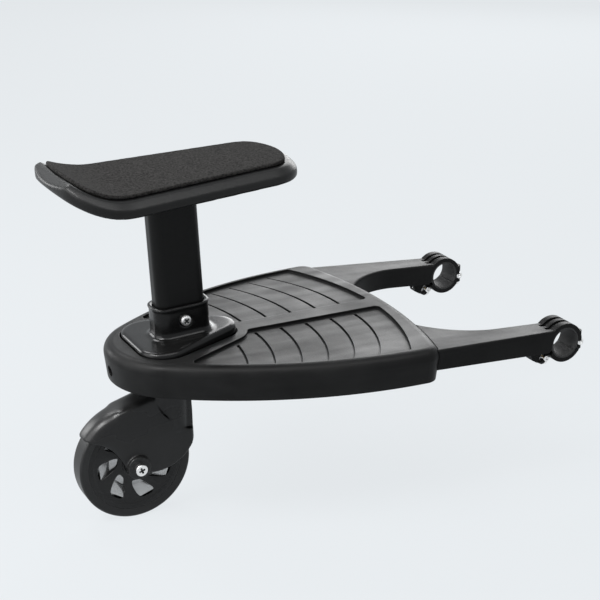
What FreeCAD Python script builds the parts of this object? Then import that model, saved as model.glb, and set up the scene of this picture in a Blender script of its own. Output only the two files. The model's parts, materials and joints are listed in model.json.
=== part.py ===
import FreeCAD, Part
import math
import os
from types import SimpleNamespace

import Sketcher
from FreeCAD import Placement, Rotation, Vector

# Buggy board. The origin lies on the clamps' common axis, midway between them.
# +X points to the stroller, +Y to the board's left, +Z up. All sizes are in millimetres.

sizes = {
    # deck moulding
    "deck_reach": 146.0,
    "deck_length": 336.0,
    "deck_width": 312.2,
    "deck_top": 29.8,
    "deck_height": 37.0,
    "deck_nose_radius": 82.0,
    "deck_side_radius": 470.0,
    "deck_edge_radius": 520.0,
    "deck_corner_radius": 20.0,
    "deck_edge_round": 11.0,
    "deck_draft": 3.0,
    "deck_wall": 4.0,
    "deck_plate": 7.5,
    "rib_wall": 2.5,
    "rib_setback": 6.0,
    "rib_pitch": 46.0,
    "rib_first": 46.0,
    "nose_hole_radius": 6.0,
    "nose_hole_drop": 24.0,
    # tread fields
    "tread_depth": 3.0,
    "tread_rim": 12.0,
    "tread_edge_margin": 19.5,
    "tread_edge_radius": 311.5,
    "tread_corner_round": 6.0,
    "tread_ridge": 24.0,
    "groove_width": 3.6,
    "groove_depth": 2.2,
    "groove_pitch": 30.6,
    "groove_first": 51.0,
    "groove_radius": 205.0,
    "groove_margin": 6.0,
    "land_tip_radius": 36.0,
    "land_tip_forward": 38.0,
    "land_corner_radius": 37.3,
    "land_corner_back": 32.5,
    "land_corner_side": 34.0,
    # seat base, in the leaning frame of the post
    "post_back": 399.5,
    "base_tip_radius": 23.0,
    "base_tip_forward": 39.0,
    "base_corner_radius": 28.0,
    "base_corner_back": 29.0,
    "base_corner_side": 24.0,
    "base_height": 10.5,
    "base_sink": 3.0,
    "base_gap": 1.5,
    "base_edge_round": 4.5,
    "base_pad_margin": 6.0,
    "base_pad_depth": 22.0,
    "collar_length": 62.0,
    "collar_width": 37.0,
    "collar_round": 14.0,
    "collar_height": 44.5,
    "collar_foot_round": 6.0,
    "collar_lip": 1.2,
    "collar_lip_height": 2.5,
    "collar_floor": 3.0,
    "post_length": 54.0,
    "post_width": 29.0,
    "post_round": 11.0,
    "post_wall": 2.5,
    "post_play": 0.2,
    "post_bolt_height": 28.0,
    "plug_depth": 26.0,
    # saddle
    "seat_height": 190.0,
    "seat_front_reach": 125.0,
    "seat_front_x": 92.0,
    "seat_front_side": 22.0,
    "seat_front_round": 28.0,
    "seat_rear_reach": 119.0,
    "seat_rear_x": 80.0,
    "seat_rear_side": 31.0,
    "seat_rear_round": 35.0,
    "seat_bend_back": 60.0,
    "seat_bend_radius": 86.0,
    "pad_thickness": 4.5,
    "pad_gap": 0.2,
    "pad_edge_round": 1.6,
    "shell_margin": 12.0,
    "shell_thickness": 17.0,
    "shell_bevel": 8.0,
    "shell_tail_drop": 6.0,
    "shell_shoulder_round": 2.5,
    "shell_bottom_round": 3.0,
    "shell_wall": 6.0,
    "shell_plate": 5.0,
    "shell_block_margin": 7.0,
    "shell_rib_wall": 3.0,
    "shell_rib_pitch": 42.0,
    "shell_rib_side": 30.0,
    # arms and clamps
    "clamp_inset": 31.1,
    "clamp_width": 30.6,
    "tube_radius": 16.0,
    "liner_wall": 2.0,
    "liner_gap": 0.2,
    "hook_wall": 4.4,
    "arm_root_back": 200.0,
    "arm_root_inset": 5.0,
    "arm_neck_back": 33.0,
    "arm_root_top": 27.6,
    "arm_neck_top": 17.5,
    "arm_root_bottom": 5.8,
    "arm_neck_bottom": 7.0,
    "arm_flare_radius": 98.0,
    "arm_flare_back": 72.0,
    "arm_edge_round": 3.0,
    "arm_wall": 4.0,
    "arm_rib_wall": 3.0,
    "arm_pocket_front": 50.0,
    "arm_pocket_back": 132.0,
    "seam_gap": 0.3,
    "tongue_width": 46.0,
    "tongue_inset": 22.1,
    "tongue_back": 214.0,
    "tongue_front": 144.0,
    "tongue_bottom": 5.0,
    "tongue_height": 10.0,
    "tongue_play": 0.4,
    "hook_groove_width": 5.0,
    "hook_groove_depth": 2.8,
    "hook_groove_offset": 5.2,
    "slit_distance": 12.2,
    "slit_gap": 5.0,
    "slit_bolt_reach": 27.8,
    "lug_back": 40.0,
    "jaw_top": -1.5,
    "jaw_gap": 9.0,
    "ear_thickness": 4.8,
    "ear_depth": 12.0,
    "jaw_ear_height": 7.0,
    "jaw_bolt_reach": 26.0,
    # fasteners
    "bolt_radius": 3.2,
    "bolt_head_radius": 4.6,
    "bolt_head_height": 3.6,
    "bolt_play": 0.2,
    "insert_wall": 1.3,
    "insert_length": 6.0,
    "screw_radius": 2.0,
    "screw_head_radius": 4.0,
    "screw_head_height": 2.6,
    "screw_grip": 8.0,
    "arm_screw_boss_radius": 6.0,
    "post_bolt_radius": 3.0,
    "post_bolt_head_radius": 5.7,
    "post_bolt_head_height": 2.6,
    "post_bolt_pocket_depth": 2.2,
    "post_bolt_pocket_play": 0.5,
    "post_nut_height": 4.0,
    # caster
    "stem_back": 414.0,
    "stem_radius": 19.0,
    "stem_bottom": 71.0,
    "trail": 46.5,
    "axle_drop": 101.5,
    "pin_radius": 6.0,
    "pin_play": 0.05,
    "pin_head_radius": 9.0,
    "pin_head_height": 6.0,
    "pin_head_drop": 38.0,
    "pin_nut_across": 19.0,
    "pin_nut_height": 8.0,
    "pin_tail": 1.2,
    "washer_radius": 12.0,
    "washer_thickness": 1.6,
    "bush_wall": 3.0,
    "bush_length": 7.5,
    "bush_flange_radius": 13.0,
    "bush_flange": 2.5,
    "swivel_gap": 0.25,
    "socket_radius": 20.0,
    "socket_well_radius": 14.0,
    "socket_well_depth": 21.3,
    # hood and wheel
    "hood_radius": 67.5,
    "hood_half_width": 18.5,
    "hood_wall": 2.5,
    "hood_round": 13.0,
    "hood_crease": 20.0,
    "hood_slab_round": 6.0,
    "hood_shoulder_step": 4.0,
    "boss_radius": 13.0,
    "boss_reach": 24.0,
    "tyre_radius": 62.5,
    "tyre_width": 24.0,
    "tyre_round": 3.0,
    "rim_radius": 53.0,
    "rim_bead": 1.5,
    "rim_wall": 7.0,
    "web_half": 9.5,
    "hub_radius": 15.0,
    "window_inner": 18.5,
    "window_outer": 42.0,
    "bearing_radius": 11.0,
    "bearing_width": 7.0,
    "bearing_chamfer": 0.6,
    "axle_radius": 4.0,
    "axle_play": 0.05,
    "axle_head_radius": 6.0,
    "axle_head_height": 4.4,
    "axle_nut_across": 13.0,
    "axle_nut_height": 6.5,
    "axle_tail": 1.5,
    "sleeve_wall": 2.0,
    "spacer_gap": 0.1,
    # general
    "overrun": 40.0,
    "touch_tolerance": 0.005,
}

seat_lean_angle = 3.0
slit_angle = 60.0
flare_end_angle = 154.0
seat_bend_angle = 43.5
window_spread_angle = 20.0
window_sweep_angle = -26.0
window_twist_angle = 10.0
window_count = 7
groove_count = 6
rib_count = 5
rib_side_count = 3
shell_rib_count = 6

# Arm screws on a tongue: shares of its length from the front and of its width from inside.
tongue_screw_shares = ((0.58, 0.22), (0.58, 0.78), (0.84, 0.5))
# Base screws under the flange: shares of its back reach and of its corner's side reach.
base_screw_shares = ((0.695, 0.95), (0.695, -0.95), (-0.21, 1.2), (-0.21, -1.2))
# Cheek and hood cut-outs: shares of the hood's radius from the axle.
front_cut_shares = ((-0.845, 0.533), (-0.46, 0.385), (-0.19, -0.05))
rear_cut_shares = ((0.12, -0.14), (0.62, -0.1), (1.01, 0.37))
shoulder_cut_shares = ((0.31, 1.125), (0.56, 0.69), (0.9, 0.47))
crest_height_share = 0.95
# How far each side of a hub window has swept at its middle radius.
window_bend_shares = (0.65, 0.2)
# How far the upper liner stops short of the strap: a share of the clamp's gaps.
liner_seam_share = 0.06
# How much a tread groove narrows towards the rim.
groove_taper_share = 0.8
plug_screw_share = 0.55
# Start, middle and end of an arc, and places along an edge that tell which face it bounds.
arc_shares = (0.0, 0.5, 1.0)
probe_shares = (0.0, 0.37, 1.0)

doc = FreeCAD.newDocument("buggy_board")
sheet = doc.addObject("Spreadsheet::Sheet", "dims")
for row, (alias, number) in enumerate(sizes.items(), start=1):
    sheet.set(f"A{row}", alias)
    sheet.set(f"B{row}", str(number))
    sheet.setAlias(f"B{row}", alias)
doc.recompute()
d = SimpleNamespace(**{alias: float(sheet.get(alias)) for alias in sizes})

X_AXIS = Vector(1, 0, 0)
Y_AXIS = Vector(0, 1, 0)
Z_AXIS = Vector(0, 0, 1)
ORIGIN = Vector(0, 0, 0)

deck_bottom = d.deck_top - d.deck_height
tread_floor = d.deck_top - d.tread_depth
plate_under = d.deck_top - d.deck_plate
housing_radius = d.tube_radius + d.liner_wall
hook_radius = housing_radius + d.hook_wall
clamp_half = d.clamp_width / 2
clamp_centre = d.deck_width / 2 - d.clamp_inset
arm_root_half = d.deck_width / 2 - d.arm_root_inset
tongue_outer = d.deck_width / 2 - d.tongue_inset
tongue_inner = tongue_outer - d.tongue_width
base_back_reach = d.base_corner_back + d.base_corner_radius
axle_at = Vector(-d.stem_back - d.trail, 0, -d.axle_drop)
at_axle = Placement(axle_at, Rotation())
lean = Placement(
    Vector(-d.post_back, 0, tread_floor), Rotation(Y_AXIS, -seat_lean_angle)
)
sub_parts = {}


# Small tools for outlines and solids


def add_solid(label, shape, placement=Placement()):
    piece = doc.addObject("Part::Feature", label)
    piece.Label = label
    piece.Shape = shape
    piece.Placement = placement
    sub_parts[label] = piece
    return piece


def add_group(label, master, placements):
    copies = []
    for placement in placements:
        copy = master.Shape.copy()
        copy.Placement = placement
        copies.append(copy)
    return add_solid(label, Part.makeCompound(copies))


def closed_face(edges):
    return Part.Face(Part.Wire(edges))


def arc_through(points):
    return Part.Arc(*points).toShape()


def line_between(start, end):
    return Part.LineSegment(start, end).toShape()


def disc(centre, radius):
    return closed_face([Part.makeCircle(radius, centre)])


def lower(face, depth):
    return face.extrude(Vector(0, 0, -depth))


def raise_by(face, height):
    return face.extrude(Vector(0, 0, height))


def at_height(shape, height):
    return shape.translated(Vector(0, 0, height))


def mirrored(shape):
    return shape.mirror(ORIGIN, Y_AXIS)


def block(low, high):
    size = high - low
    return Part.makeBox(size.x, size.y, size.z, low)


def upright(radius, low, high, x, y):
    return Part.makeCylinder(radius, high - low, Vector(x, y, low), Z_AXIS)


def crosswise(radius, low, high, x=0, z=0):
    return Part.makeCylinder(radius, high - low, Vector(x, low, z), Y_AXIS)


def hull_edges(circles):
    # Outline around circles (x, y, radius) named counterclockwise, with tangents between.
    normals = []
    for (x, y, r), (next_x, next_y, next_r) in zip(circles, circles[1:] + circles[:1]):
        along = Vector(next_x - x, next_y - y, 0)
        lean_share = (r - next_r) / along.Length
        along.normalize()
        outward = Vector(along.y, -along.x, 0)
        normals.append(along * lean_share + outward * math.sqrt(1 - lean_share ** 2))
    edges = []
    count = len(circles)
    for index, (x, y, r) in enumerate(circles):
        arrive = normals[index - 1]
        leave = normals[index]
        centre = Vector(x, y, 0)
        turn = math.atan2(leave.y, leave.x) - math.atan2(arrive.y, arrive.x)
        middle = Rotation(Z_AXIS, math.degrees(turn % (2 * math.pi) / 2)).multVec(arrive)
        if r > 0:
            edges.append(arc_through((centre + arrive * r, centre + middle * r, centre + leave * r)))
        following = circles[(index + 1) % count]
        far = Vector(following[0], following[1], 0) + leave * following[2]
        edges.append(line_between(centre + leave * r, far))
    return edges


def hull_face(circles):
    return closed_face(hull_edges(circles))


def bow_radius(reach, x, side, r):
    # Radius of the end arc that reaches that far and touches a corner circle from outside.
    back = x - reach
    return (r ** 2 - back ** 2 - side ** 2) / (2 * (back + r))


def round_rect(length, width, r, grow=0):
    across = length / 2 - r
    aside = width / 2 - r
    corners = ((across, -aside), (across, aside), (-across, aside), (-across, -aside))
    return hull_face([(x, y, r + grow) for x, y in corners])


def edges_at_height(shape, height):
    found = []
    for edge in shape.Edges:
        if all(abs(vertex.Z - height) < d.touch_tolerance for vertex in edge.Vertexes):
            found.append(edge)
    return found


# Turned pieces: a half profile of named sizes, turned about the vertical axis


def lathe(label, corners):
    body = doc.addObject("PartDesign::Body", label)
    body.Label = label
    plane = next(f for f in body.Origin.OriginFeatures if f.Role == "XZ_Plane")
    sketch = body.newObject("Sketcher::SketchObject", label + "_profile")
    sketch.AttachmentSupport = [(plane, "")]
    sketch.MapMode = "FlatFace"
    count = len(corners)
    turn = 2 * math.pi / count
    ring = [Vector(2 + math.cos(i * turn), math.sin(i * turn), 0) for i in range(count)]
    for index in range(count):
        sketch.addGeometry(Part.LineSegment(ring[index], ring[(index + 1) % count]), False)
    for index in range(count):
        sketch.addConstraint(Sketcher.Constraint("Coincident", index, 2, (index + 1) % count, 1))
    for index, (across, up) in enumerate(corners):
        for kind, formula, axis in (("DistanceX", across, -2), ("DistanceY", up, -1)):
            if formula == "0":
                sketch.addConstraint(Sketcher.Constraint("PointOnObject", index, 1, axis))
                continue
            place = ring[index].x if kind == "DistanceX" else ring[index].y
            held = sketch.addConstraint(Sketcher.Constraint(kind, -1, 1, index, 1, place))
            sketch.setExpression(f"Constraints[{held}]", formula)
    turned = body.newObject("PartDesign::Revolution", label + "_turn")
    turned.Profile = sketch
    turned.ReferenceAxis = (sketch, ["V_Axis"])
    turned.Angle = 360
    doc.recompute()
    return body


def named(expression):
    # Prefixes each size in a formula with the sheet that holds it.
    words = expression.split(" ")
    return " ".join("dims." + word if word in sizes else word for word in words)


def turned_piece(label, corners):
    return lathe(label, [(named(across), named(up)) for across, up in corners])


def ring_piece(label, inner, outer, low, high):
    return turned_piece(label, ((inner, low), (outer, low), (outer, high), (inner, high)))


def headed_bolt(label, shank, head, head_height, length):
    # The head's seat is at height zero and the shank points up.
    return turned_piece(label, (
        ("0", f"0 - {head_height}"),
        (head, f"0 - {head_height}"),
        (head, "0"),
        (shank, "0"),
        (shank, length),
        ("0", length),
    ))


def hex_nut(label, across, height, bore):
    body = doc.addObject("Part::Prism", label + "_hex")
    body.Polygon = 6
    body.setExpression("Circumradius", named(f"{across} / 2 / cos(30deg)"))
    body.setExpression("Height", named(height))
    hole = doc.addObject("Part::Cylinder", label + "_bore")
    hole.setExpression("Radius", named(bore))
    hole.setExpression("Height", named(height))
    nut = doc.addObject("Part::Cut", label)
    nut.Base = body
    nut.Tool = hole
    nut.Label = label
    doc.recompute()
    return nut


# Deck


def deck_circles():
    nose = Vector(-d.deck_reach - d.deck_length + d.deck_nose_radius, 0, 0)
    side_y = d.deck_width / 2 - d.deck_side_radius
    side_x = nose.x + math.sqrt((d.deck_side_radius - d.deck_nose_radius) ** 2 - side_y ** 2)
    side = Vector(side_x, side_y, 0)
    edge = Vector(-d.deck_reach - d.deck_edge_radius, 0, 0)
    to_side = d.deck_side_radius - d.deck_corner_radius
    to_edge = d.deck_edge_radius - d.deck_corner_radius
    between = side - edge
    span = between.Length
    along = (to_edge ** 2 - to_side ** 2 + span ** 2) / (2 * span)
    height = math.sqrt(to_edge ** 2 - along ** 2)
    between.normalize()
    corner = edge + between * along + Vector(-between.y, between.x, 0) * height
    return nose, side, corner, edge


def flipped(point):
    return Vector(point.x, -point.y, point.z)


def toward(start, end, length):
    step = end - start
    step.normalize()
    return end + step * length


def deck_outline(inset, height):
    nose, side, corner, edge = deck_circles()
    nose_r = d.deck_nose_radius - inset
    side_r = d.deck_side_radius - inset
    corner_r = d.deck_corner_radius - inset
    edge_r = d.deck_edge_radius - inset
    nose_touch = toward(side, nose, nose_r)
    side_touch = toward(side, corner, corner_r)
    edge_touch = toward(edge, corner, corner_r)
    side_mid = side + (nose_touch + side_touch - side * 2).normalize() * side_r
    corner_mid = corner + (side_touch + edge_touch - corner * 2).normalize() * corner_r
    half = [(nose_touch, side_mid, side_touch), (side_touch, corner_mid, edge_touch)]
    front = (edge_touch, edge + X_AXIS * edge_r, flipped(edge_touch))
    back = (flipped(nose_touch), nose - X_AXIS * nose_r, nose_touch)
    other = [tuple(flipped(point) for point in reversed(arc)) for arc in reversed(half)]
    arcs = half + [front] + other + [back]
    return at_height(Part.Wire([arc_through(arc) for arc in arcs]), height)


def deck_form(grow=0):
    parting = d.deck_top - d.deck_edge_round - d.deck_wall / 4
    walls = [
        deck_outline(-grow, d.deck_top + grow),
        deck_outline(-grow, parting),
        deck_outline(d.deck_draft - grow, deck_bottom),
    ]
    form = Part.makeLoft(walls, True, True)
    return form.makeFillet(d.deck_edge_round, edges_at_height(form, d.deck_top + grow))


def deck_cavity():
    inset = d.deck_wall
    walls = [
        deck_outline(inset, plate_under),
        deck_outline(inset, d.deck_top - d.deck_edge_round),
        deck_outline(inset + d.deck_draft, deck_bottom),
    ]
    return Part.makeLoft(walls, True, True)


def base_face(grow=0):
    corner_r = d.base_corner_radius + grow
    tip_r = d.base_tip_radius + grow
    corner = (-d.base_corner_back, d.base_corner_side, corner_r)
    tip = (d.base_tip_forward, 0, tip_r)
    return hull_face([(corner[0], -corner[1], corner_r), tip, corner])


def land_face(grow=0):
    corner = (-d.post_back - d.land_corner_back, d.land_corner_side)
    return hull_face([
        (corner[0], -corner[1], d.land_corner_radius + grow),
        (-d.post_back + d.land_tip_forward, 0, d.land_tip_radius + grow),
        (corner[0], corner[1], d.land_corner_radius + grow),
    ])


def tread_face(inset=0):
    nose, side, corner, edge = deck_circles()
    outer = disc(side, d.deck_side_radius - d.tread_rim - inset)
    front_at = Vector(-d.deck_reach - d.tread_edge_margin - d.tread_edge_radius, 0, 0)
    front = disc(front_at, d.tread_edge_radius - inset)
    low = Vector(-d.post_back - d.land_corner_back, d.tread_ridge / 2 + inset, 0)
    half = Part.makePlane(d.deck_length, d.deck_width, low)
    sharp = outer.common(front).common(half).cut(land_face(inset)).Faces[0]
    return sharp.makeOffset2D(-d.tread_corner_round).makeOffset2D(d.tread_corner_round)


def tread_cuts():
    field = lower(at_height(tread_face(), d.deck_top + d.overrun), d.overrun + d.tread_depth)
    room = at_height(tread_face(d.groove_margin), tread_floor - d.groove_depth)
    room = raise_by(room, d.overrun)
    cuts = [field]
    for index in range(groove_count):
        reach = -d.deck_reach - d.groove_first - index * d.groove_pitch
        centre = Vector(reach - d.groove_radius, d.tread_ridge / 2 + d.groove_margin, 0)
        shift = Vector(-d.groove_width, groove_taper_share * d.groove_width, 0)
        band = disc(centre, d.groove_radius).cut(disc(centre + shift, d.groove_radius))
        band = raise_by(at_height(band, tread_floor - d.groove_depth), d.overrun)
        groove = band.common(room)
        if groove.Solids:
            cuts.append(groove)
    return cuts + [mirrored(cut) for cut in cuts]


def tongue_screw_places():
    places = []
    length = d.tongue_back - d.tongue_front
    width = tongue_outer - tongue_inner
    for along_share, across_share in tongue_screw_shares:
        x = -d.tongue_front - along_share * length
        y = tongue_inner + across_share * width
        places += [(x, y), (x, -y)]
    return places


def base_screw_places():
    places = []
    for back_share, side_share in base_screw_shares:
        places.append((-back_share * base_back_reach, side_share * d.base_corner_side))
    return places


def deck_stiffeners():
    low = deck_bottom + d.rib_setback
    far = -d.deck_reach - d.deck_length
    ribs = []
    for index in range(-rib_side_count, rib_side_count + 1):
        offset = index * d.rib_pitch
        start = Vector(far, offset - d.rib_wall / 2, low)
        ribs.append(block(start, Vector(-d.deck_reach, offset + d.rib_wall / 2, d.deck_top)))
    for index in range(rib_count):
        x = -d.deck_reach - d.rib_first - index * d.rib_pitch
        start = Vector(x - d.rib_wall / 2, -d.deck_width, low)
        ribs.append(block(start, Vector(x + d.rib_wall / 2, d.deck_width, d.deck_top)))
    pad = at_height(base_face(d.base_pad_margin), d.base_height)
    pad = lower(pad, d.base_height + d.base_pad_depth).transformed(lean.toMatrix())
    socket = upright(d.socket_radius, deck_bottom, d.deck_top, -d.stem_back, 0)
    bosses = []
    for x, y in tongue_screw_places():
        boss_foot = d.tongue_bottom + d.tongue_height
        bosses.append(upright(d.arm_screw_boss_radius, boss_foot, d.deck_top, x, y))
    return ribs + [pad, socket] + bosses


def tongue_block(play):
    low = Vector(-d.tongue_back - play, tongue_inner - play, d.tongue_bottom - play)
    high = Vector(-d.tongue_front, tongue_outer + play, d.tongue_bottom + d.tongue_height)
    return block(low, high)


def make_deck():
    hollow = deck_cavity().cut(deck_stiffeners())
    cuts = [hollow] + tread_cuts()
    seat_floor = at_height(base_face(d.base_gap), -d.base_sink)
    cuts.append(raise_by(seat_floor, d.overrun).transformed(lean.toMatrix()))
    for x, y in base_screw_places():
        hole = upright(d.screw_radius + d.bolt_play, -d.overrun, d.overrun, x, y)
        cuts.append(hole.transformed(lean.toMatrix()))
    well_floor = d.deck_top - d.socket_well_depth
    barrel = d.pin_radius + d.bush_wall
    cuts.append(upright(barrel, deck_bottom, d.deck_top, -d.stem_back, 0))
    cuts.append(upright(d.socket_well_radius, well_floor, d.deck_top, -d.stem_back, 0))
    nose_x = -d.deck_reach - d.deck_length
    hole_at = Vector(nose_x - d.overrun, 0, d.deck_top - d.nose_hole_drop)
    hole_depth = d.overrun + d.deck_draft + 3 * d.deck_wall
    cuts.append(Part.makeCylinder(d.nose_hole_radius, hole_depth, hole_at, X_AXIS))
    slot = tongue_block(d.tongue_play)
    cuts += [slot, mirrored(slot)]
    boss_foot = d.tongue_bottom + d.tongue_height
    for x, y in tongue_screw_places():
        top = boss_foot + d.screw_grip + d.bolt_play
        cuts.append(upright(d.screw_radius + d.bolt_play, boss_foot, top, x, y))
    add_solid("deck", deck_form().cut(cuts).removeSplitter())


# Arms, clamp straps and liners. The left side is modelled and mirrored.


def side_view(points):
    # A closed outline in the vertical plane through the origin.
    corners = [Vector(x, 0, z) for x, z in points]
    return Part.Face(Part.makePolygon(corners + corners[:1]))


def across_clamp(face, half_width=None):
    half_width = clamp_half if half_width is None else half_width
    shifted = face.translated(Vector(0, clamp_centre - half_width, 0))
    return shifted.extrude(Vector(0, 2 * half_width, 0))


def slit_point(outward, along):
    # Along runs down the slit from the point nearest the tube's axis, outward to the strap.
    turn = math.radians(slit_angle)
    normal = Vector(math.sin(turn), 0, -math.cos(turn))
    down = Vector(-math.cos(turn), 0, -math.sin(turn))
    return normal * (outward - d.slit_distance) + down * along


def strap_region(gap_share):
    # What lies below the slit and the jaw: the strap's side, with a share of the gaps.
    outward = d.slit_gap * (0.5 - gap_share)
    jaw = d.jaw_top - d.jaw_gap * (1 - gap_share)
    far = hook_radius + d.overrun
    inner = slit_point(outward, 0)
    outer = slit_point(outward, far)
    return side_view((
        (inner.x, inner.z),
        (0, jaw),
        (far, jaw),
        (far, -far),
        (outer.x, outer.z),
    ))


def arm_plan():
    root_x = -d.arm_root_back
    outer = clamp_centre + clamp_half
    inner = clamp_centre - clamp_half
    flare_at = Vector(-d.arm_flare_back, inner - d.arm_flare_radius, 0)
    turn_mid = math.radians((90 + flare_end_angle) / 2)
    turn_end = math.radians(flare_end_angle)
    r = d.arm_flare_radius
    middle = flare_at + Vector(math.cos(turn_mid), math.sin(turn_mid), 0) * r
    end = flare_at + Vector(math.cos(turn_end), math.sin(turn_end), 0) * r
    corners = [
        Vector(root_x, end.y, 0),
        Vector(root_x, arm_root_half, 0),
        Vector(0, outer, 0),
        Vector(0, inner, 0),
        Vector(-d.arm_flare_back, inner, 0),
    ]
    edges = [line_between(a, b) for a, b in zip(corners, corners[1:])]
    edges.append(arc_through((corners[-1], middle, end)))
    edges.append(line_between(end, corners[0]))
    return closed_face(edges)


def arm_side(drop=0):
    span = d.arm_root_back - d.arm_neck_back
    top_fall = (d.arm_root_top - d.arm_neck_top) * d.arm_neck_back / span
    bottom_fall = (d.arm_root_bottom + d.arm_neck_bottom) * d.arm_neck_back / span
    return side_view((
        (-d.arm_root_back, d.arm_root_top - drop),
        (0, d.arm_neck_top - top_fall - drop),
        (0, -d.arm_neck_bottom - bottom_fall - drop),
        (-d.arm_root_back, d.arm_root_bottom - drop),
    ))


def arm_prism(plan, side):
    tall = raise_by(at_height(plan, -d.overrun), 2 * d.overrun)
    return tall.common(side.extrude(Vector(0, d.deck_width, 0)))


def arm_bar():
    bar = arm_prism(arm_plan(), arm_side())
    slope = (d.arm_root_top - d.arm_neck_top) / (d.arm_root_back - d.arm_neck_back)
    top_edges = []
    for edge in bar.Edges:
        ends = [vertex.Point for vertex in edge.Vertexes]
        above = [p.z - d.arm_neck_top + slope * (p.x + d.arm_neck_back) for p in ends]
        on_top = all(abs(rise) < d.touch_tolerance for rise in above)
        along = abs(ends[0].x - ends[1].x) > d.arm_neck_back / 2
        outside = min(p.y for p in ends) > tongue_inner / 2
        if on_top and along and outside and edge.Length > d.arm_neck_back:
            top_edges.append(edge)
    return bar.makeFillet(d.arm_edge_round, top_edges)


def arm_pockets():
    inset = arm_plan().makeOffset2D(-d.arm_wall)
    room = arm_prism(inset, arm_side(d.arm_wall)).fuse(arm_prism(inset, arm_side(2 * d.arm_wall)))
    span = d.arm_pocket_back - d.arm_pocket_front
    middle = -d.arm_pocket_front - span / 2
    keep = d.arm_rib_wall / 2
    pockets = []
    for back, front in ((-d.arm_pocket_back, middle - keep), (middle + keep, -d.arm_pocket_front)):
        low = Vector(back, 0, -d.overrun)
        pockets.append(room.common(block(low, Vector(front, d.deck_width, d.overrun))))
    return pockets


def hook_grooves():
    grooves = []
    for offset in (-d.hook_groove_offset, d.hook_groove_offset):
        low = clamp_centre + offset - d.hook_groove_width / 2
        high = low + d.hook_groove_width
        ring = crosswise(hook_radius + d.hook_wall, low, high)
        ring = ring.cut(crosswise(hook_radius - d.hook_groove_depth, low, high))
        floor = Vector(-d.overrun, 0, housing_radius / 3)
        grooves.append(ring.common(block(floor, Vector(d.overrun, d.deck_width, d.overrun))))
    return grooves


def slit_hole(radius, inner, outer):
    # A round hole square to the slit, between two distances outward from it.
    start = slit_point(inner, d.slit_bolt_reach) + Vector(0, clamp_centre, 0)
    step = slit_point(outer, d.slit_bolt_reach) + Vector(0, clamp_centre, 0) - start
    return Part.makeCylinder(radius, step.Length, start, step)


def jaw_hole(radius, low, high):
    return upright(radius, low, high, d.jaw_bolt_reach, clamp_centre)


def jaw_ear(low, high):
    # A lug with a round end about the jaw's bolt.
    half = d.ear_depth / 2
    start = Vector(0, clamp_centre - half, low)
    bar = block(start, Vector(d.jaw_bolt_reach, clamp_centre + half, high))
    return [bar, jaw_hole(half, low, high)]


def arm_shape():
    first = clamp_centre - clamp_half
    last = clamp_centre + clamp_half
    lug_face = -d.slit_gap / 2
    lug_end = d.slit_bolt_reach + d.ear_depth / 2
    lug_heel = slit_point(lug_face - d.insert_length - d.insert_wall, lug_end)
    lug_foot = slit_point(lug_face, lug_end)
    lug_head = slit_point(lug_face, 0)
    lug = side_view((
        (-d.lug_back, 0),
        (-d.lug_back, -d.arm_neck_bottom),
        (lug_heel.x, lug_heel.z),
        (lug_foot.x, lug_foot.z),
        (lug_head.x, lug_head.z),
    ))
    lug = across_clamp(lug, d.ear_depth / 2)
    form = arm_bar().fuse([crosswise(hook_radius, first, last), lug])
    form = form.cut([deck_form(d.seam_gap)] + arm_pockets() + hook_grooves())
    form = form.fuse(jaw_ear(d.jaw_top, d.jaw_top + d.jaw_ear_height) + [tongue_block(0)])
    bore = crosswise(housing_radius, first - d.clamp_width, last + d.clamp_width)
    cuts = [bore, across_clamp(strap_region(1), 2 * clamp_half)]
    insert = d.bolt_radius + d.insert_wall
    inner = -d.slit_gap / 2
    cuts.append(slit_hole(insert, inner - d.insert_length, inner))
    cuts.append(slit_hole(d.bolt_radius + d.bolt_play, inner - 2 * d.insert_length, inner))
    cuts.append(jaw_hole(insert, d.jaw_top, d.jaw_top + d.insert_length))
    for x, y in tongue_screw_places():
        cuts.append(upright(d.screw_radius + d.bolt_play, -d.overrun, d.overrun, x, y))
    return form.cut(cuts).removeSplitter()


def strap_shape():
    first = clamp_centre - clamp_half
    last = clamp_centre + clamp_half
    ring = crosswise(hook_radius, first, last).common(across_clamp(strap_region(0)))
    near = d.slit_gap / 2
    corners = [
        slit_point(near, 0),
        slit_point(near, d.slit_bolt_reach),
        slit_point(near + d.ear_thickness, d.slit_bolt_reach),
        slit_point(near + d.ear_thickness, 0),
    ]
    slit_ear = across_clamp(side_view([(p.x, p.z) for p in corners]), d.ear_depth / 2)
    jaw = d.jaw_top - d.jaw_gap
    slit_end = slit_hole(d.ear_depth / 2, near, near + d.ear_thickness)
    below = across_clamp(strap_region(0))
    ears = jaw_ear(jaw - d.ear_thickness, jaw) + [slit_ear.common(below), slit_end]
    form = ring.fuse(ears)
    hole = d.bolt_radius + d.bolt_play
    return form.cut([
        crosswise(housing_radius, first, last),
        slit_hole(hole, near, near + d.ear_thickness),
        jaw_hole(hole, jaw - d.ear_thickness, jaw),
    ]).removeSplitter()


def liner_shapes():
    first = clamp_centre - clamp_half
    last = clamp_centre + clamp_half
    tube = crosswise(housing_radius - d.liner_gap, first, last)
    tube = tube.cut(crosswise(d.tube_radius, first, last))
    upper = tube.cut(across_clamp(strap_region(liner_seam_share), 2 * clamp_half))
    lower_half = tube.common(across_clamp(strap_region(0), 2 * clamp_half))
    return Part.makeCompound([upper, lower_half])


def make_arms_and_clamps():
    arm = arm_shape()
    strap = strap_shape()
    liners = liner_shapes()
    for side, shape in (("arm", arm), ("clamp_strap", strap), ("clamp_liners", liners)):
        add_solid("left_" + side, shape)
        add_solid("right_" + side, mirrored(shape))


def on_both_sides(placement):
    base = placement.Base
    return [placement, Placement(Vector(base.x, -base.y, base.z), placement.Rotation)]


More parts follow.
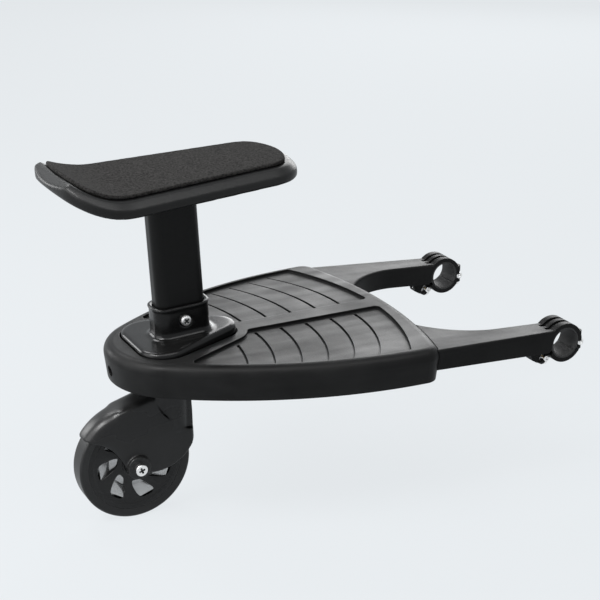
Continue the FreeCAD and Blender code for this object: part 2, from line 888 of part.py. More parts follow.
def make_clamp_bolts():
    length = "ear_thickness + jaw_gap + insert_length"
    bolt = headed_bolt("clamp_bolt", "bolt_radius", "bolt_head_radius", "bolt_head_height", length)
    insert = ring_piece("thread_insert", "bolt_radius + pin_play", "bolt_radius + insert_wall - pin_play",
                        "0", "insert_length")
    near = d.slit_gap / 2
    slit_seat = slit_point(near + d.ear_thickness, d.slit_bolt_reach) + Vector(0, clamp_centre, 0)
    into_arm = slit_point(-near, d.slit_bolt_reach) + Vector(0, clamp_centre, 0)
    square = Rotation(Z_AXIS, into_arm - slit_seat)
    jaw_seat = Vector(d.jaw_bolt_reach, clamp_centre, d.jaw_top - d.jaw_gap - d.ear_thickness)
    jaw_top = Vector(d.jaw_bolt_reach, clamp_centre, d.jaw_top)
    bolts = on_both_sides(Placement(slit_seat, square))
    bolts += on_both_sides(Placement(jaw_seat, Rotation()))
    inserts = on_both_sides(Placement(into_arm, square))
    inserts += on_both_sides(Placement(jaw_top, Rotation()))
    add_group("clamp_bolts", bolt, bolts)
    add_group("thread_inserts", insert, inserts)


def make_arm_screws():
    length = "tongue_height + screw_grip"
    screw = headed_bolt("arm_screw", "screw_radius", "screw_head_radius", "screw_head_height", length)
    places = []
    for x, y in tongue_screw_places():
        places.append(Placement(Vector(x, y, d.tongue_bottom), Rotation()))
    add_group("arm_screws", screw, places)


# Seat base, post and saddle, in the leaning frame


def make_seat_base():
    flange = raise_by(at_height(base_face(), -d.base_sink), d.base_sink + d.base_height)
    flange = flange.makeFillet(d.base_edge_round, edges_at_height(flange, d.base_height))
    collar = raise_by(round_rect(d.collar_length, d.collar_width, d.collar_round), d.collar_height)
    form = flange.fuse(collar).removeSplitter()
    foot = []
    for edge in edges_at_height(form, d.base_height):
        middle = edge.CenterOfMass
        if abs(middle.x) <= d.collar_length / 2 and abs(middle.y) <= d.collar_width / 2:
            foot.append(edge)
    form = form.makeFillet(d.collar_foot_round, foot)
    lip = round_rect(d.collar_length, d.collar_width, d.collar_round, d.collar_lip)
    lip = raise_by(at_height(lip, d.collar_height - d.collar_lip_height), d.collar_lip_height)
    socket = round_rect(d.post_length, d.post_width, d.post_round, d.post_play)
    socket = raise_by(at_height(socket, d.collar_floor), d.overrun + d.collar_height)
    cuts = [socket]
    side = d.collar_width / 2
    z = d.post_bolt_height
    cuts.append(crosswise(d.post_bolt_radius + d.bolt_play, -d.overrun, d.overrun, 0, z))
    pocket = d.post_bolt_head_radius + d.post_bolt_pocket_play
    cuts.append(crosswise(pocket, -side - d.collar_lip, -side + d.post_bolt_pocket_depth, 0, z))
    nut_room = pocket + d.post_bolt_pocket_play
    cuts.append(crosswise(nut_room, side - d.post_bolt_pocket_depth, side + d.collar_lip, 0, z))
    for x, y in base_screw_places():
        top = -d.base_sink + d.screw_grip
        cuts.append(upright(d.screw_radius + d.bolt_play, -d.overrun, top + d.bolt_play, x, y))
    add_solid("seat_base", form.fuse(lip).cut(cuts).removeSplitter(), lean)


def make_base_screws():
    length = "base_pad_depth - base_sink + screw_grip"
    screw = headed_bolt("base_screw", "screw_radius", "screw_head_radius", "screw_head_height", length)
    places = []
    for x, y in base_screw_places():
        local = Placement(Vector(x, y, -d.base_pad_depth), Rotation())
        places.append(lean.multiply(local))
    add_group("base_screws", screw, places)


def post_bottom_and_top():
    return d.collar_floor, d.seat_height - d.pad_thickness - d.shell_thickness


def make_post():
    low, high = post_bottom_and_top()
    tube = round_rect(d.post_length, d.post_width, d.post_round)
    tube = tube.cut(round_rect(d.post_length, d.post_width, d.post_round, -d.post_wall))
    tube = raise_by(at_height(tube, low), high - low)
    hole = crosswise(d.post_bolt_radius + d.bolt_play, -d.overrun, d.overrun, 0, d.post_bolt_height)
    add_solid("seat_post", tube.cut(hole), lean)
    plug = round_rect(d.post_length, d.post_width, d.post_round, -d.post_wall - d.post_play)
    plug = raise_by(at_height(plug, high - d.plug_depth), d.plug_depth)
    holes = []
    for x in plug_screw_places():
        holes.append(upright(d.screw_radius + d.bolt_play, high - d.plug_depth, high, x, 0))
    add_solid("post_plug", plug.cut(holes), lean)


def plug_screw_places():
    reach = plug_screw_share * d.post_length / 2
    return (-reach, reach)


def make_post_bolt():
    length = "collar_width - post_bolt_pocket_depth"
    bolt = headed_bolt("post_bolt", "post_bolt_radius", "post_bolt_head_radius",
                       "post_bolt_head_height", length)
    seat = Vector(0, -d.collar_width / 2 + d.post_bolt_pocket_depth, d.post_bolt_height)
    bolt.Placement = lean.multiply(Placement(seat, Rotation(X_AXIS, -90)))
    sub_parts["post_bolt"] = bolt
    nut = hex_nut("post_nut", "post_bolt_head_radius * 2", "post_nut_height",
                  "post_bolt_radius + pin_play")
    seat = Vector(0, d.collar_width / 2 - d.post_bolt_pocket_depth, d.post_bolt_height)
    nut.Placement = lean.multiply(Placement(seat, Rotation(X_AXIS, -90)))
    sub_parts["post_nut"] = nut


def saddle_face(grow=0):
    front_r = d.seat_front_round + grow
    rear_r = d.seat_rear_round + grow
    front = Vector(d.seat_front_x, d.seat_front_side, 0)
    rear = Vector(-d.seat_rear_x, d.seat_rear_side, 0)
    front_bow = bow_radius(d.seat_front_reach, front.x, front.y, d.seat_front_round)
    rear_bow = bow_radius(d.seat_rear_reach, -rear.x, rear.y, d.seat_rear_round)
    front_at = Vector(d.seat_front_reach - front_bow, 0, 0)
    rear_at = Vector(rear_bow - d.seat_rear_reach, 0, 0)
    front_touch = toward(front_at, front, front_r)
    rear_touch = toward(rear_at, rear, rear_r)
    along = rear - front
    lean_share = (front_r - rear_r) / along.Length
    along.normalize()
    aside = Vector(along.y, -along.x, 0)
    normal = along * lean_share + aside * math.sqrt(1 - lean_share ** 2)
    front_side = front + normal * front_r
    rear_side = rear + normal * rear_r
    front_mid = front + (front_touch + front_side - front * 2).normalize() * front_r
    rear_mid = rear + (rear_touch + rear_side - rear * 2).normalize() * rear_r
    tip = Vector(d.seat_front_reach + grow, 0, 0)
    tail = Vector(-d.seat_rear_reach - grow, 0, 0)
    edges = [
        arc_through((flipped(front_touch), tip, front_touch)),
        arc_through((front_touch, front_mid, front_side)),
        line_between(front_side, rear_side),
        arc_through((rear_side, rear_mid, rear_touch)),
        arc_through((rear_touch, tail, flipped(rear_touch))),
        arc_through((flipped(rear_touch), flipped(rear_mid), flipped(rear_side))),
        line_between(flipped(rear_side), flipped(front_side)),
        arc_through((flipped(front_side), flipped(front_mid), flipped(front_touch))),
    ]
    return closed_face(edges)


def saddle_band(low, high, drop=0):
    # The layer between two heights, which bends up at the rear about one axis. A drop ends
    # its top sooner, so that the rear end slopes more gently.
    front = d.seat_front_reach + d.overrun
    centre = Vector(-d.seat_bend_back, 0, d.seat_height + d.seat_bend_radius)

    def bent(height, angle):
        r = centre.z - height
        turn = math.radians(angle)
        return centre + Vector(-math.sin(turn), 0, -math.cos(turn)) * r

    end_angle = seat_bend_angle - math.degrees(drop / (centre.z - high))
    edges = [
        line_between(Vector(front, 0, low), Vector(front, 0, high)),
        line_between(Vector(front, 0, high), bent(high, 0)),
        arc_through([bent(high, end_angle * share) for share in arc_shares]),
        line_between(bent(high, end_angle), bent(low, seat_bend_angle)),
        arc_through([bent(low, seat_bend_angle * share) for share in reversed(arc_shares)]),
        line_between(bent(low, 0), Vector(front, 0, low)),
    ]
    wide = d.seat_rear_side + d.seat_rear_round + d.overrun
    band = closed_face(edges).translated(Vector(0, -wide, 0))
    return band.extrude(Vector(0, 2 * wide, 0))


def saddle_layer(grow, low, high, drop=0):
    column = raise_by(saddle_face(grow), d.seat_height + d.overrun)
    return column.common(saddle_band(low, high, drop))


def layer_edges(shape, low, high):
    # The edges of a saddle layer that run between two heights, measured square to its bend.
    bend_z = d.seat_height + d.seat_bend_radius
    found = []
    for edge in shape.Edges:
        first, last = edge.ParameterRange
        places = [edge.valueAt(first + share * (last - first)) for share in probe_shares]
        within = True
        for place in places:
            if place.x >= -d.seat_bend_back:
                level = place.z
            else:
                level = bend_z - math.hypot(place.x + d.seat_bend_back, place.z - bend_z)
            within = within and low - d.touch_tolerance < level < high + d.touch_tolerance
        across = max(p.x for p in places) - min(p.x for p in places) < d.touch_tolerance
        if within and not across:
            found.append(edge)
    return found


def make_saddle():
    top = d.seat_height - d.pad_thickness
    bottom = top - d.shell_thickness
    form = saddle_layer(d.shell_margin, bottom, top, d.shell_tail_drop)
    form = form.makeChamfer(d.shell_bevel, layer_edges(form, top, top))
    shoulder = layer_edges(form, bottom + d.shell_shoulder_round, top - d.shell_shoulder_round)
    form = form.makeFillet(d.shell_shoulder_round, shoulder)
    form = form.makeFillet(d.shell_bottom_round, layer_edges(form, bottom, bottom))
    hollow_drop = d.shell_tail_drop + 2 * d.shell_plate
    hollow = saddle_layer(d.shell_margin - d.shell_wall, bottom - d.overrun / 2, top - d.shell_plate,
                          hollow_drop)
    seat_block = round_rect(d.post_length, d.post_width, d.post_round, d.shell_block_margin)
    keep = [raise_by(seat_block, d.seat_height)]
    half = d.shell_rib_wall / 2
    far = d.seat_front_reach + d.overrun
    low = bottom + half
    for y in (-d.shell_rib_side, 0, d.shell_rib_side):
        keep.append(block(Vector(-far, y - half, low), Vector(far, y + half, 2 * d.seat_height)))
    for index in range(shell_rib_count):
        x = (index - shell_rib_count / 2 + 0.5) * d.shell_rib_pitch
        keep.append(block(Vector(x - half, -far, low), Vector(x + half, far, 2 * d.seat_height)))
    cuts = [hollow.cut(keep)]
    for x in plug_screw_places():
        cuts.append(upright(d.screw_radius + d.bolt_play, bottom, top, x, 0))
        head = d.screw_head_radius + d.bolt_play
        cuts.append(upright(head, top - d.screw_head_height - d.bolt_play, top, x, 0))
    add_solid("seat_shell", form.cut(cuts).removeSplitter(), lean)
    pad = saddle_layer(0, top + d.pad_gap, d.seat_height)
    pad = pad.makeFillet(d.pad_edge_round, layer_edges(pad, d.seat_height, d.seat_height))
    add_solid("seat_pad", pad, lean)
    length = "shell_thickness - screw_head_height - bolt_play + screw_grip"
    screw = headed_bolt("seat_screw", "screw_radius", "screw_head_radius", "screw_head_height", length)
    places = []
    for x in plug_screw_places():
        seat = Vector(x, 0, top - d.screw_head_height - d.bolt_play)
        places.append(lean.multiply(Placement(seat, Rotation(X_AXIS, 180))))
    add_group("seat_screws", screw, places)


# Caster: swivel, fork and hood


def make_swivel():
    well_floor = d.deck_top - d.socket_well_depth
    barrel = "pin_radius + bush_wall - pin_play"
    bore = "pin_radius + pin_play"
    bush = (
        (bore, "0 - bush_length"),
        (barrel, "0 - bush_length"),
        (barrel, "0"),
        ("bush_flange_radius", "0"),
        ("bush_flange_radius", "bush_flange"),
        (bore, "bush_flange"),
    )
    at = Vector(-d.stem_back, 0, 0)
    upper = turned_piece("upper_bush", bush)
    upper.Placement = Placement(at + Z_AXIS * well_floor, Rotation())
    under = turned_piece("lower_bush", bush)
    under.Placement = Placement(at + Z_AXIS * deck_bottom, Rotation(X_AXIS, 180))
    washer = ring_piece("kingpin_washer", "pin_radius + pin_play", "washer_radius", "0", "washer_thickness")
    washer_low = well_floor + d.bush_flange + d.swivel_gap
    washer.Placement = Placement(at + Z_AXIS * washer_low, Rotation())
    nut = hex_nut("kingpin_nut", "pin_nut_across", "pin_nut_height", "pin_radius + pin_play")
    nut_low = washer_low + d.washer_thickness
    nut.Placement = Placement(at + Z_AXIS * nut_low, Rotation())
    thrust = ring_piece("thrust_washer", "pin_radius + pin_play", "bush_flange_radius",
                        "0", "washer_thickness")
    thrust.Placement = Placement(at + Z_AXIS * stem_top(), Rotation())
    length = ("pin_head_drop + deck_top - socket_well_depth + bush_flange + swivel_gap"
              " + washer_thickness + pin_nut_height + pin_tail")
    pin = headed_bolt("kingpin", "pin_radius", "pin_head_radius", "pin_head_height", length)
    pin.Placement = Placement(at - Z_AXIS * d.pin_head_drop, Rotation())
    for piece in (upper, under, washer, nut, thrust, pin):
        sub_parts[piece.Label] = piece


def stem_top():
    return deck_bottom - d.bush_flange - d.swivel_gap - d.washer_thickness


def wheel_view(shares):
    return [Vector(x * d.hood_radius, 0, z * d.hood_radius) for x, z in shares]


def through_fork(face):
    return face.translated(Vector(0, -d.overrun, 0)).extrude(Vector(0, 2 * d.overrun, 0))


def polygon_of(start, corners):
    # Closes an arc's edge with straight lines through the corners.
    chain = [start[-1]] + corners + [start[0]]
    edges = [arc_through(start)]
    edges += [line_between(a, b) for a, b in zip(chain, chain[1:])]
    return closed_face(edges)


def hood_profile(radius, half_width, round_off):
    # Half section of a drum about the axle with rounded shoulders, ready to turn.
    inner = half_width - round_off
    circles = [
        (0, -half_width, 0),
        (radius - round_off, -inner, round_off),
        (radius - round_off, inner, round_off),
        (0, half_width, 0),
    ]
    return hull_face(circles).revolve(ORIGIN, Y_AXIS, 360)


def fork_body():
    far = d.hood_radius + d.overrun
    fender = hood_profile(d.hood_radius, d.hood_half_width, d.hood_round)
    front = block(Vector(-far, -far, -far), Vector(-d.hood_crease, far, far))
    crest = crest_height_share * d.hood_radius
    outline = [(0, 0, d.hood_radius), (d.trail, crest, d.stem_radius)]
    middle = hull_face(outline)
    middle.rotate(ORIGIN, X_AXIS, 90)
    middle = middle.translated(Vector(0, d.hood_half_width, 0))
    middle = middle.extrude(Vector(0, -2 * d.hood_half_width, 0))
    rims = []
    for edge in middle.Edges:
        if abs(edge.Vertexes[0].Y - edge.Vertexes[-1].Y) < d.touch_tolerance:
            rims.append(edge)
    middle = middle.makeFillet(d.hood_slab_round, rims)
    middle = middle.common(block(Vector(-d.hood_crease, -far, -far), Vector(far, far, far)))
    shoulder = wheel_view(shoulder_cut_shares)
    beyond = [Vector(far, 0, shoulder[-1].z), Vector(far, 0, far), Vector(shoulder[0].x, 0, far)]
    core = d.hood_half_width - d.hood_shoulder_step
    core = block(Vector(-far, -core, -far), Vector(far, core, far))
    middle = middle.cut(through_fork(polygon_of(shoulder, beyond)).cut(core))
    form = fender.common(front).fuse(middle)
    front_cut = wheel_view(front_cut_shares)
    under = [Vector(front_cut[-1].x, 0, -far), Vector(-far, 0, -far), Vector(-far, 0, front_cut[0].z)]
    rear_cut = wheel_view(rear_cut_shares)
    rear = [Vector(far, 0, rear_cut[-1].z), Vector(far, 0, -far), Vector(rear_cut[0].x, 0, -far)]
    chin = side_view((
        (front_cut[-1].x, front_cut[-1].z),
        (rear_cut[0].x, rear_cut[0].z),
        (rear_cut[0].x, -far),
        (front_cut[-1].x, -far),
    ))
    for face in (polygon_of(front_cut, under), polygon_of(rear_cut, rear), chin):
        form = form.cut(through_fork(face))
    return form


def make_fork():
    top = stem_top() + d.axle_drop
    stem = upright(d.stem_radius, d.axle_drop - d.stem_bottom, top, d.trail, 0)
    form = fork_body().fuse([stem, crosswise(d.boss_radius, -d.boss_reach, d.boss_reach)])
    room = hood_profile(d.hood_radius - d.hood_wall, d.hood_half_width - d.hood_wall,
                        d.hood_round - d.hood_wall)
    pin = d.pin_radius + d.pin_play
    head_seat = d.axle_drop - d.pin_head_drop
    cuts = [
        room,
        upright(pin, 0, top, d.trail, 0),
        upright(d.pin_head_radius + d.seam_gap, 0, head_seat, d.trail, 0),
        crosswise(d.axle_radius + d.axle_play, -d.overrun, d.overrun),
    ]
    add_solid("fork", form.cut(cuts).removeSplitter(), at_axle)


# Wheel, turned about the axle


def window_wire(side, turn):
    # A swept opening between the hub barrel and the rim, on one face of the web.
    def place(radius, angle):
        bearing = math.radians(angle + turn)
        return Vector(radius * math.cos(bearing), side, radius * math.sin(bearing))

    middle = (d.window_inner + d.window_outer) / 2
    spread = window_spread_angle
    sweep = window_sweep_angle
    low = [place(d.window_inner, sweep + spread * share) for share in arc_shares]
    high = [place(d.window_outer, spread * share) for share in arc_shares]
    first_bend, last_bend = [sweep * share for share in window_bend_shares]
    return Part.Wire([
        arc_through((low[0], low[1], low[2])),
        arc_through((low[2], place(middle, spread + last_bend), high[2])),
        arc_through((high[2], high[1], high[0])),
        arc_through((high[0], place(middle, first_bend), low[0])),
    ])


def make_hub():
    half = d.tyre_width / 2
    bead = half - d.rim_bead
    groove = d.rim_radius - d.rim_wall
    outline = [
        (d.bearing_radius, half),
        (d.hub_radius, half),
        (d.hub_radius, d.web_half),
        (groove, d.web_half),
        (groove + d.rim_bead, bead),
        (d.rim_radius, bead),
    ]
    corners = [Vector(r, y, 0) for r, y in outline]
    corners += [Vector(r, -y, 0) for r, y in reversed(outline)]
    profile = Part.Face(Part.makePolygon(corners + corners[:1]))
    form = profile.revolve(ORIGIN, Y_AXIS, 360)
    cuts = []
    for index in range(window_count):
        turn = index * 360 / window_count
        near = window_wire(-d.web_half, turn)
        far = window_wire(d.web_half, turn + window_twist_angle)
        cuts.append(Part.makeLoft([near, far], True, True))
    seat = half - d.bearing_width
    ledge = crosswise(d.bearing_radius, -seat, seat)
    ledge = ledge.cut(crosswise(d.axle_radius + 2 * d.sleeve_wall, -seat, seat))
    form = form.cut(cuts).fuse(ledge).removeSplitter()
    add_solid("wheel_hub", form, at_axle)


def make_tyre():
    half = d.tyre_width / 2
    bead = half - d.rim_bead
    shoulder = (d.tyre_radius - d.tyre_round, half - d.tyre_round, d.tyre_round)
    section = hull_face([
        (d.rim_radius, -bead, 0),
        (shoulder[0], -shoulder[1], shoulder[2]),
        shoulder,
        (d.rim_radius, bead, 0),
    ])
    add_solid("tyre", section.revolve(ORIGIN, Y_AXIS, 360), at_axle)


def make_axle():
    across = Rotation(X_AXIS, -90)
    half = d.tyre_width / 2
    inner = d.hood_half_width - d.hood_wall
    bore = "axle_radius + axle_play"
    ring = "bearing_radius - axle_play"
    bearing = turned_piece("wheel_bearing", (
        (bore, "0"),
        (f"{ring} - bearing_chamfer", "0"),
        (ring, "bearing_chamfer"),
        (ring, "bearing_width - bearing_chamfer"),
        (f"{ring} - bearing_chamfer", "bearing_width"),
        (bore, "bearing_width"),
    ))
    places = [axle_at + Y_AXIS * (half - d.bearing_width), axle_at - Y_AXIS * half]
    add_group("wheel_bearings", bearing, [Placement(place, across) for place in places])
    sleeve = ring_piece("bearing_sleeve", bore, "axle_radius + sleeve_wall", "0",
                        "tyre_width - bearing_width * 2 - spacer_gap * 2")
    sleeve_at = axle_at - Y_AXIS * (half - d.bearing_width - d.spacer_gap)
    sleeve.Placement = Placement(sleeve_at, across)
    sub_parts["bearing_sleeve"] = sleeve
    spacer = ring_piece("axle_spacer", bore, "axle_radius + sleeve_wall", "0",
                        "hood_half_width - hood_wall - tyre_width / 2 - spacer_gap")
    places = [axle_at + Y_AXIS * (half + d.spacer_gap), axle_at - Y_AXIS * inner]
    add_group("axle_spacers", spacer, [Placement(place, across) for place in places])
    bolt = headed_bolt("axle_bolt", "axle_radius", "axle_head_radius", "axle_head_height",
                       "boss_reach * 2 + axle_nut_height + axle_tail")
    bolt.Placement = Placement(axle_at - Y_AXIS * d.boss_reach, across)
    sub_parts["axle_bolt"] = bolt
    nut = hex_nut("axle_nut", "axle_nut_across", "axle_nut_height", bore)
    nut.Placement = Placement(axle_at + Y_AXIS * d.boss_reach, across)
    sub_parts["axle_nut"] = nut


make_deck()
make_arms_and_clamps()
make_clamp_bolts()
make_arm_screws()
make_seat_base()
make_base_screws()
make_post()
make_post_bolt()
make_saddle()
make_swivel()
make_fork()
make_hub()
make_tyre()
make_axle()
doc.recompute()

for item in doc.Objects:
    if "Invalid" in item.State or "Error" in item.State:
        raise RuntimeError(f"{item.Label} did not compute")
for label, piece in sub_parts.items():
    shape = piece.Shape
    if shape.isNull() or not shape.isValid() or not shape.Solids:
        raise RuntimeError(f"{label} has no valid solid")
    print(label, len(shape.Solids), round(shape.Volume))

os.makedirs("parts", exist_ok=True)
for label, piece in sub_parts.items():
    piece.Shape.exportStep(os.path.join("parts", label + ".step"))
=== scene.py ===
import json
import math
import bpy
from mathutils import Matrix, Vector


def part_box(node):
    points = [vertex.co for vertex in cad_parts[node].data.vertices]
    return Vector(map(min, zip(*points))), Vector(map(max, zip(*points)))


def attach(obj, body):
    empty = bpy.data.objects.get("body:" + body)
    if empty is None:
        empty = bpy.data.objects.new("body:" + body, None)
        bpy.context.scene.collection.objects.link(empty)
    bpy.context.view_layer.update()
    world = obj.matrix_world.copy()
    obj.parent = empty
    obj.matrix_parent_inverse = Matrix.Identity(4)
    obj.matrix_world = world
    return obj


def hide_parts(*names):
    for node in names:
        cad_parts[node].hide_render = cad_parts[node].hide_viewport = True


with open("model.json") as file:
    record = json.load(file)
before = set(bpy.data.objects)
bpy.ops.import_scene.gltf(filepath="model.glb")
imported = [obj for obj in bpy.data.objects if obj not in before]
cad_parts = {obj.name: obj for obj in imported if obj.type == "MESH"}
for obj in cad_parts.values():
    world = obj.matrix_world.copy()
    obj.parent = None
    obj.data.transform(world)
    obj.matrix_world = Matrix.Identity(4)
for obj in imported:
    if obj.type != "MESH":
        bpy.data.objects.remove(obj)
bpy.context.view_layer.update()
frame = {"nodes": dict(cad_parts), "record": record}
scene = bpy.context.scene
scene.view_settings.view_transform = "Standard"
print("frame loaded:", len(frame["nodes"]), "solids")


# Camera, floor and light

cameraLook = {
    "place": (-0.96049, -1.38019, 0.62291),
    "azimuth": -26.99,
    "elevation": 20.38,
    "lens": 90.165,
    "sensor": 36.0,
}


def aimed(direction):
    return direction.to_track_quat("-Z", "Y").to_euler()


def setCamera(look):
    azimuth = math.radians(look["azimuth"])
    elevation = math.radians(look["elevation"])
    ahead = Vector((
        -math.sin(azimuth) * math.cos(elevation),
        math.cos(azimuth) * math.cos(elevation),
        -math.sin(elevation),
    ))
    bpy.ops.object.camera_add(location=look["place"], rotation=aimed(ahead))
    camera = bpy.context.object
    camera.name = "photoCamera"
    camera.data.sensor_width = look["sensor"]
    camera.data.lens = look["lens"]
    scene.camera = camera


studioLook = {
    "worldColour": (0.80, 0.84, 0.88, 1),
    "worldStrength": 0.22,
    "floorColour": (0.79, 0.83, 0.86, 1),
    "floorRoughness": 0.9,
    "floorGlow": (0.790, 0.822, 0.846, 1),     # the pale ground that camera and gloss see
    "floorGlowShare": 0.95,                    # the rest keeps the object's shadow
    "floorSize": 60.0,
    "aim": (-0.28, 0.0, 0.05),
    # place, size across, power
    "lamps": {
        "backSoftbox": ((1.6, 2.3, 1.05), (1.9, 1.7), 47.0),
        "hoodBox": ((-1.32, 1.51, 0.485), (0.5, 0.6), 7.0),
        "frontSoftbox": ((-0.45, -0.75, 1.85), (2.2, 0.9), 28.0),
        "leftSoftbox": ((-2.05, 0.1, 0.9), (1.7, 1.6), 28.0),
        "highBox": ((-0.61, 0.98, 1.23), (0.5, 0.5), 8.0),
        "noseStrip": ((-1.45, -0.15, 1.35), (0.9, 0.35), 25.0),
    },
}


def raysThatSee(tree):
    # 1 for camera, glossy and transmission rays, 0 for those that light the object
    rays = tree.nodes.new("ShaderNodeLightPath")
    seen = rays.outputs["Is Camera Ray"]
    for kind in ("Is Glossy Ray", "Is Transmission Ray"):
        either = tree.nodes.new("ShaderNodeMath")
        either.operation = "MAXIMUM"
        tree.links.new(seen, either.inputs[0])
        tree.links.new(rays.outputs[kind], either.inputs[1])
        seen = either.outputs[0]
    return seen


def mixShaders(tree, factor, first, second, output):
    mixed = tree.nodes.new("ShaderNodeMixShader")
    tree.links.new(factor, mixed.inputs["Fac"])
    tree.links.new(first, mixed.inputs[1])
    tree.links.new(second, mixed.inputs[2])
    tree.links.new(mixed.outputs["Shader"], tree.nodes[output].inputs["Surface"])


def setWorld(look):
    world = bpy.data.worlds.new("studioWorld")
    scene.world = world
    world.use_nodes = True
    tree = world.node_tree
    sky = tree.nodes["Background"]
    sky.inputs["Color"].default_value = look["worldColour"]
    sky.inputs["Strength"].default_value = look["worldStrength"]
    beyond = tree.nodes.new("ShaderNodeBackground")
    beyond.inputs["Color"].default_value = look["floorGlow"]
    mixShaders(tree, raysThatSee(tree), sky.outputs["Background"],
               beyond.outputs["Background"], "World Output")


def setLamps(look):
    for name, (place, size, power) in look["lamps"].items():
        towards = Vector(look["aim"]) - Vector(place)
        bpy.ops.object.light_add(type="AREA", location=place, rotation=aimed(towards))
        lamp = bpy.context.object
        lamp.name = name
        lamp.data.shape = "RECTANGLE"
        lamp.data.size, lamp.data.size_y = size
        lamp.data.energy = power


def setFloor(look):
    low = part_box("tyre")[0].z
    bpy.ops.mesh.primitive_plane_add(size=look["floorSize"], location=(0, 0, low))
    floor = bpy.context.object
    floor.name = "studioFloor"
    material = bpy.data.materials.new("paleFloor")
    material.use_nodes = True
    tree = material.node_tree
    shader = tree.nodes["Principled BSDF"]
    shader.inputs["Base Color"].default_value = look["floorColour"]
    shader.inputs["Roughness"].default_value = look["floorRoughness"]
    glow = tree.nodes.new("ShaderNodeEmission")
    glow.inputs["Color"].default_value = look["floorGlow"]
    share = tree.nodes.new("ShaderNodeMath")
    share.operation = "MULTIPLY"
    tree.links.new(raysThatSee(tree), share.inputs[0])
    share.inputs[1].default_value = look["floorGlowShare"]
    mixShaders(tree, share.outputs[0], shader.outputs["BSDF"],
               glow.outputs["Emission"], "Material Output")
    floor.data.materials.append(material)


bpy.ops.object.select_all(action="DESELECT")
setCamera(cameraLook)
setWorld(studioLook)
setLamps(studioLook)
setFloor(studioLook)
print("camera, floor and lamps set")


# Shared surface effects

toneInputs = [
    ("INPUT", "Color", "Dark"),
    ("INPUT", "Color", "Light"),
    ("INPUT", "Float", "Smoothest"),
    ("INPUT", "Float", "Roughest"),
]
surfaceOutputs = [
    ("OUTPUT", "Color", "Color"),
    ("OUTPUT", "Float", "Roughness"),
    ("OUTPUT", "Float", "Height"),
]


def newGroup(name, scales):
    group = bpy.data.node_groups.new(name, "ShaderNodeTree")
    inputs = [("INPUT", "Vector", "Vector")] + [("INPUT", "Float", label) for label in scales]
    for side, kind, label in inputs + toneInputs + surfaceOutputs:
        group.interface.new_socket(name=label, in_out=side, socket_type="NodeSocket" + kind)
    return group, group.nodes.new("NodeGroupInput"), group.nodes.new("NodeGroupOutput")


def newNode(tree, kind, values=None, **settings):
    node = tree.nodes.new(kind)
    for key, value in settings.items():
        setattr(node, key, value)
    for key, value in (values or {}).items():
        node.inputs[key].default_value = value
    return node


def noise(tree, vector, values, scale=None):
    texture = newNode(tree, "ShaderNodeTexNoise", values)
    tree.links.new(vector, texture.inputs["Vector"])
    if scale:
        tree.links.new(scale, texture.inputs["Scale"])
    return texture.outputs["Fac"]


def stretched(tree, vector, stretch):
    mapping = newNode(tree, "ShaderNodeMapping", {"Scale": stretch})
    tree.links.new(vector, mapping.inputs["Vector"])
    return mapping.outputs["Vector"]


def toneBetween(tree, factor, ends, kind):
    mix = newNode(tree, "ShaderNodeMix", data_type=kind)
    tree.links.new(factor, mix.inputs["Factor"])
    tree.links.new(ends[0], mix.inputs["A"])
    tree.links.new(ends[1], mix.inputs["B"])
    return mix.outputs["Result"]


skinLook = {
    "streakStretch": (0.08, 1.0, 1.0),
    "streakShare": 0.5,
    "cloudScale": 14.0,
    "cloudShare": 0.5,
    "spread": (0.36, 0.64),
    "rippleScale": 42.0,
}
platingLook = {
    "lineStretch": (1.0, 0.1, 1.0),
    "stainScale": 180.0,
}


def mouldedSkin(look):
    # fine moulding grain, faint flow streaks and slow cloudy shade
    group, ins, outs = newGroup("mouldedSkin", ("Grain Scale", "Streak Scale", "Wave"))
    links = group.links
    given = ins.outputs
    grain = noise(group, given["Vector"], {"Detail": 3.0, "Roughness": 0.6}, given["Grain Scale"])
    drawn = stretched(group, given["Vector"], look["streakStretch"])
    streak = noise(group, drawn, {"Detail": 2.0}, given["Streak Scale"])
    cloud = noise(group, given["Vector"], {"Scale": look["cloudScale"], "Detail": 3.0})
    blend = newNode(group, "ShaderNodeMath", {1: look["streakShare"]}, operation="MULTIPLY_ADD")
    links.new(streak, blend.inputs[0])
    half = newNode(group, "ShaderNodeMath", {1: look["cloudShare"]}, operation="MULTIPLY")
    links.new(cloud, half.inputs[0])
    links.new(half.outputs[0], blend.inputs[2])
    low, high = look["spread"]
    spread = newNode(group, "ShaderNodeMapRange", {"From Min": low, "From Max": high})
    links.new(blend.outputs[0], spread.inputs["Value"])
    tone = spread.outputs["Result"]
    colour = toneBetween(group, tone, (given["Dark"], given["Light"]), "RGBA")
    rough = toneBetween(group, tone, (given["Smoothest"], given["Roughest"]), "FLOAT")
    links.new(colour, outs.inputs["Color"])
    links.new(rough, outs.inputs["Roughness"])
    ripple = noise(group, given["Vector"], {"Scale": look["rippleScale"], "Detail": 1.0})
    height = newNode(group, "ShaderNodeMath", operation="MULTIPLY_ADD")
    links.new(ripple, height.inputs[0])
    links.new(given["Wave"], height.inputs[1])
    links.new(grain, height.inputs[2])
    links.new(height.outputs[0], outs.inputs["Height"])
    return group


def brushedMetal(look):
    # fine drawn lines and small cloudy stains of plating
    group, ins, outs = newGroup("brushedMetal", ("Line Scale",))
    links = group.links
    given = ins.outputs
    drawn = stretched(group, given["Vector"], look["lineStretch"])
    lines = noise(group, drawn, {"Detail": 2.0}, given["Line Scale"])
    stain = noise(group, given["Vector"], {"Scale": look["stainScale"], "Detail": 3.0})
    colour = toneBetween(group, stain, (given["Dark"], given["Light"]), "RGBA")
    rough = toneBetween(group, lines, (given["Smoothest"], given["Roughest"]), "FLOAT")
    links.new(colour, outs.inputs["Color"])
    links.new(rough, outs.inputs["Roughness"])
    links.new(lines, outs.inputs["Height"])
    return group


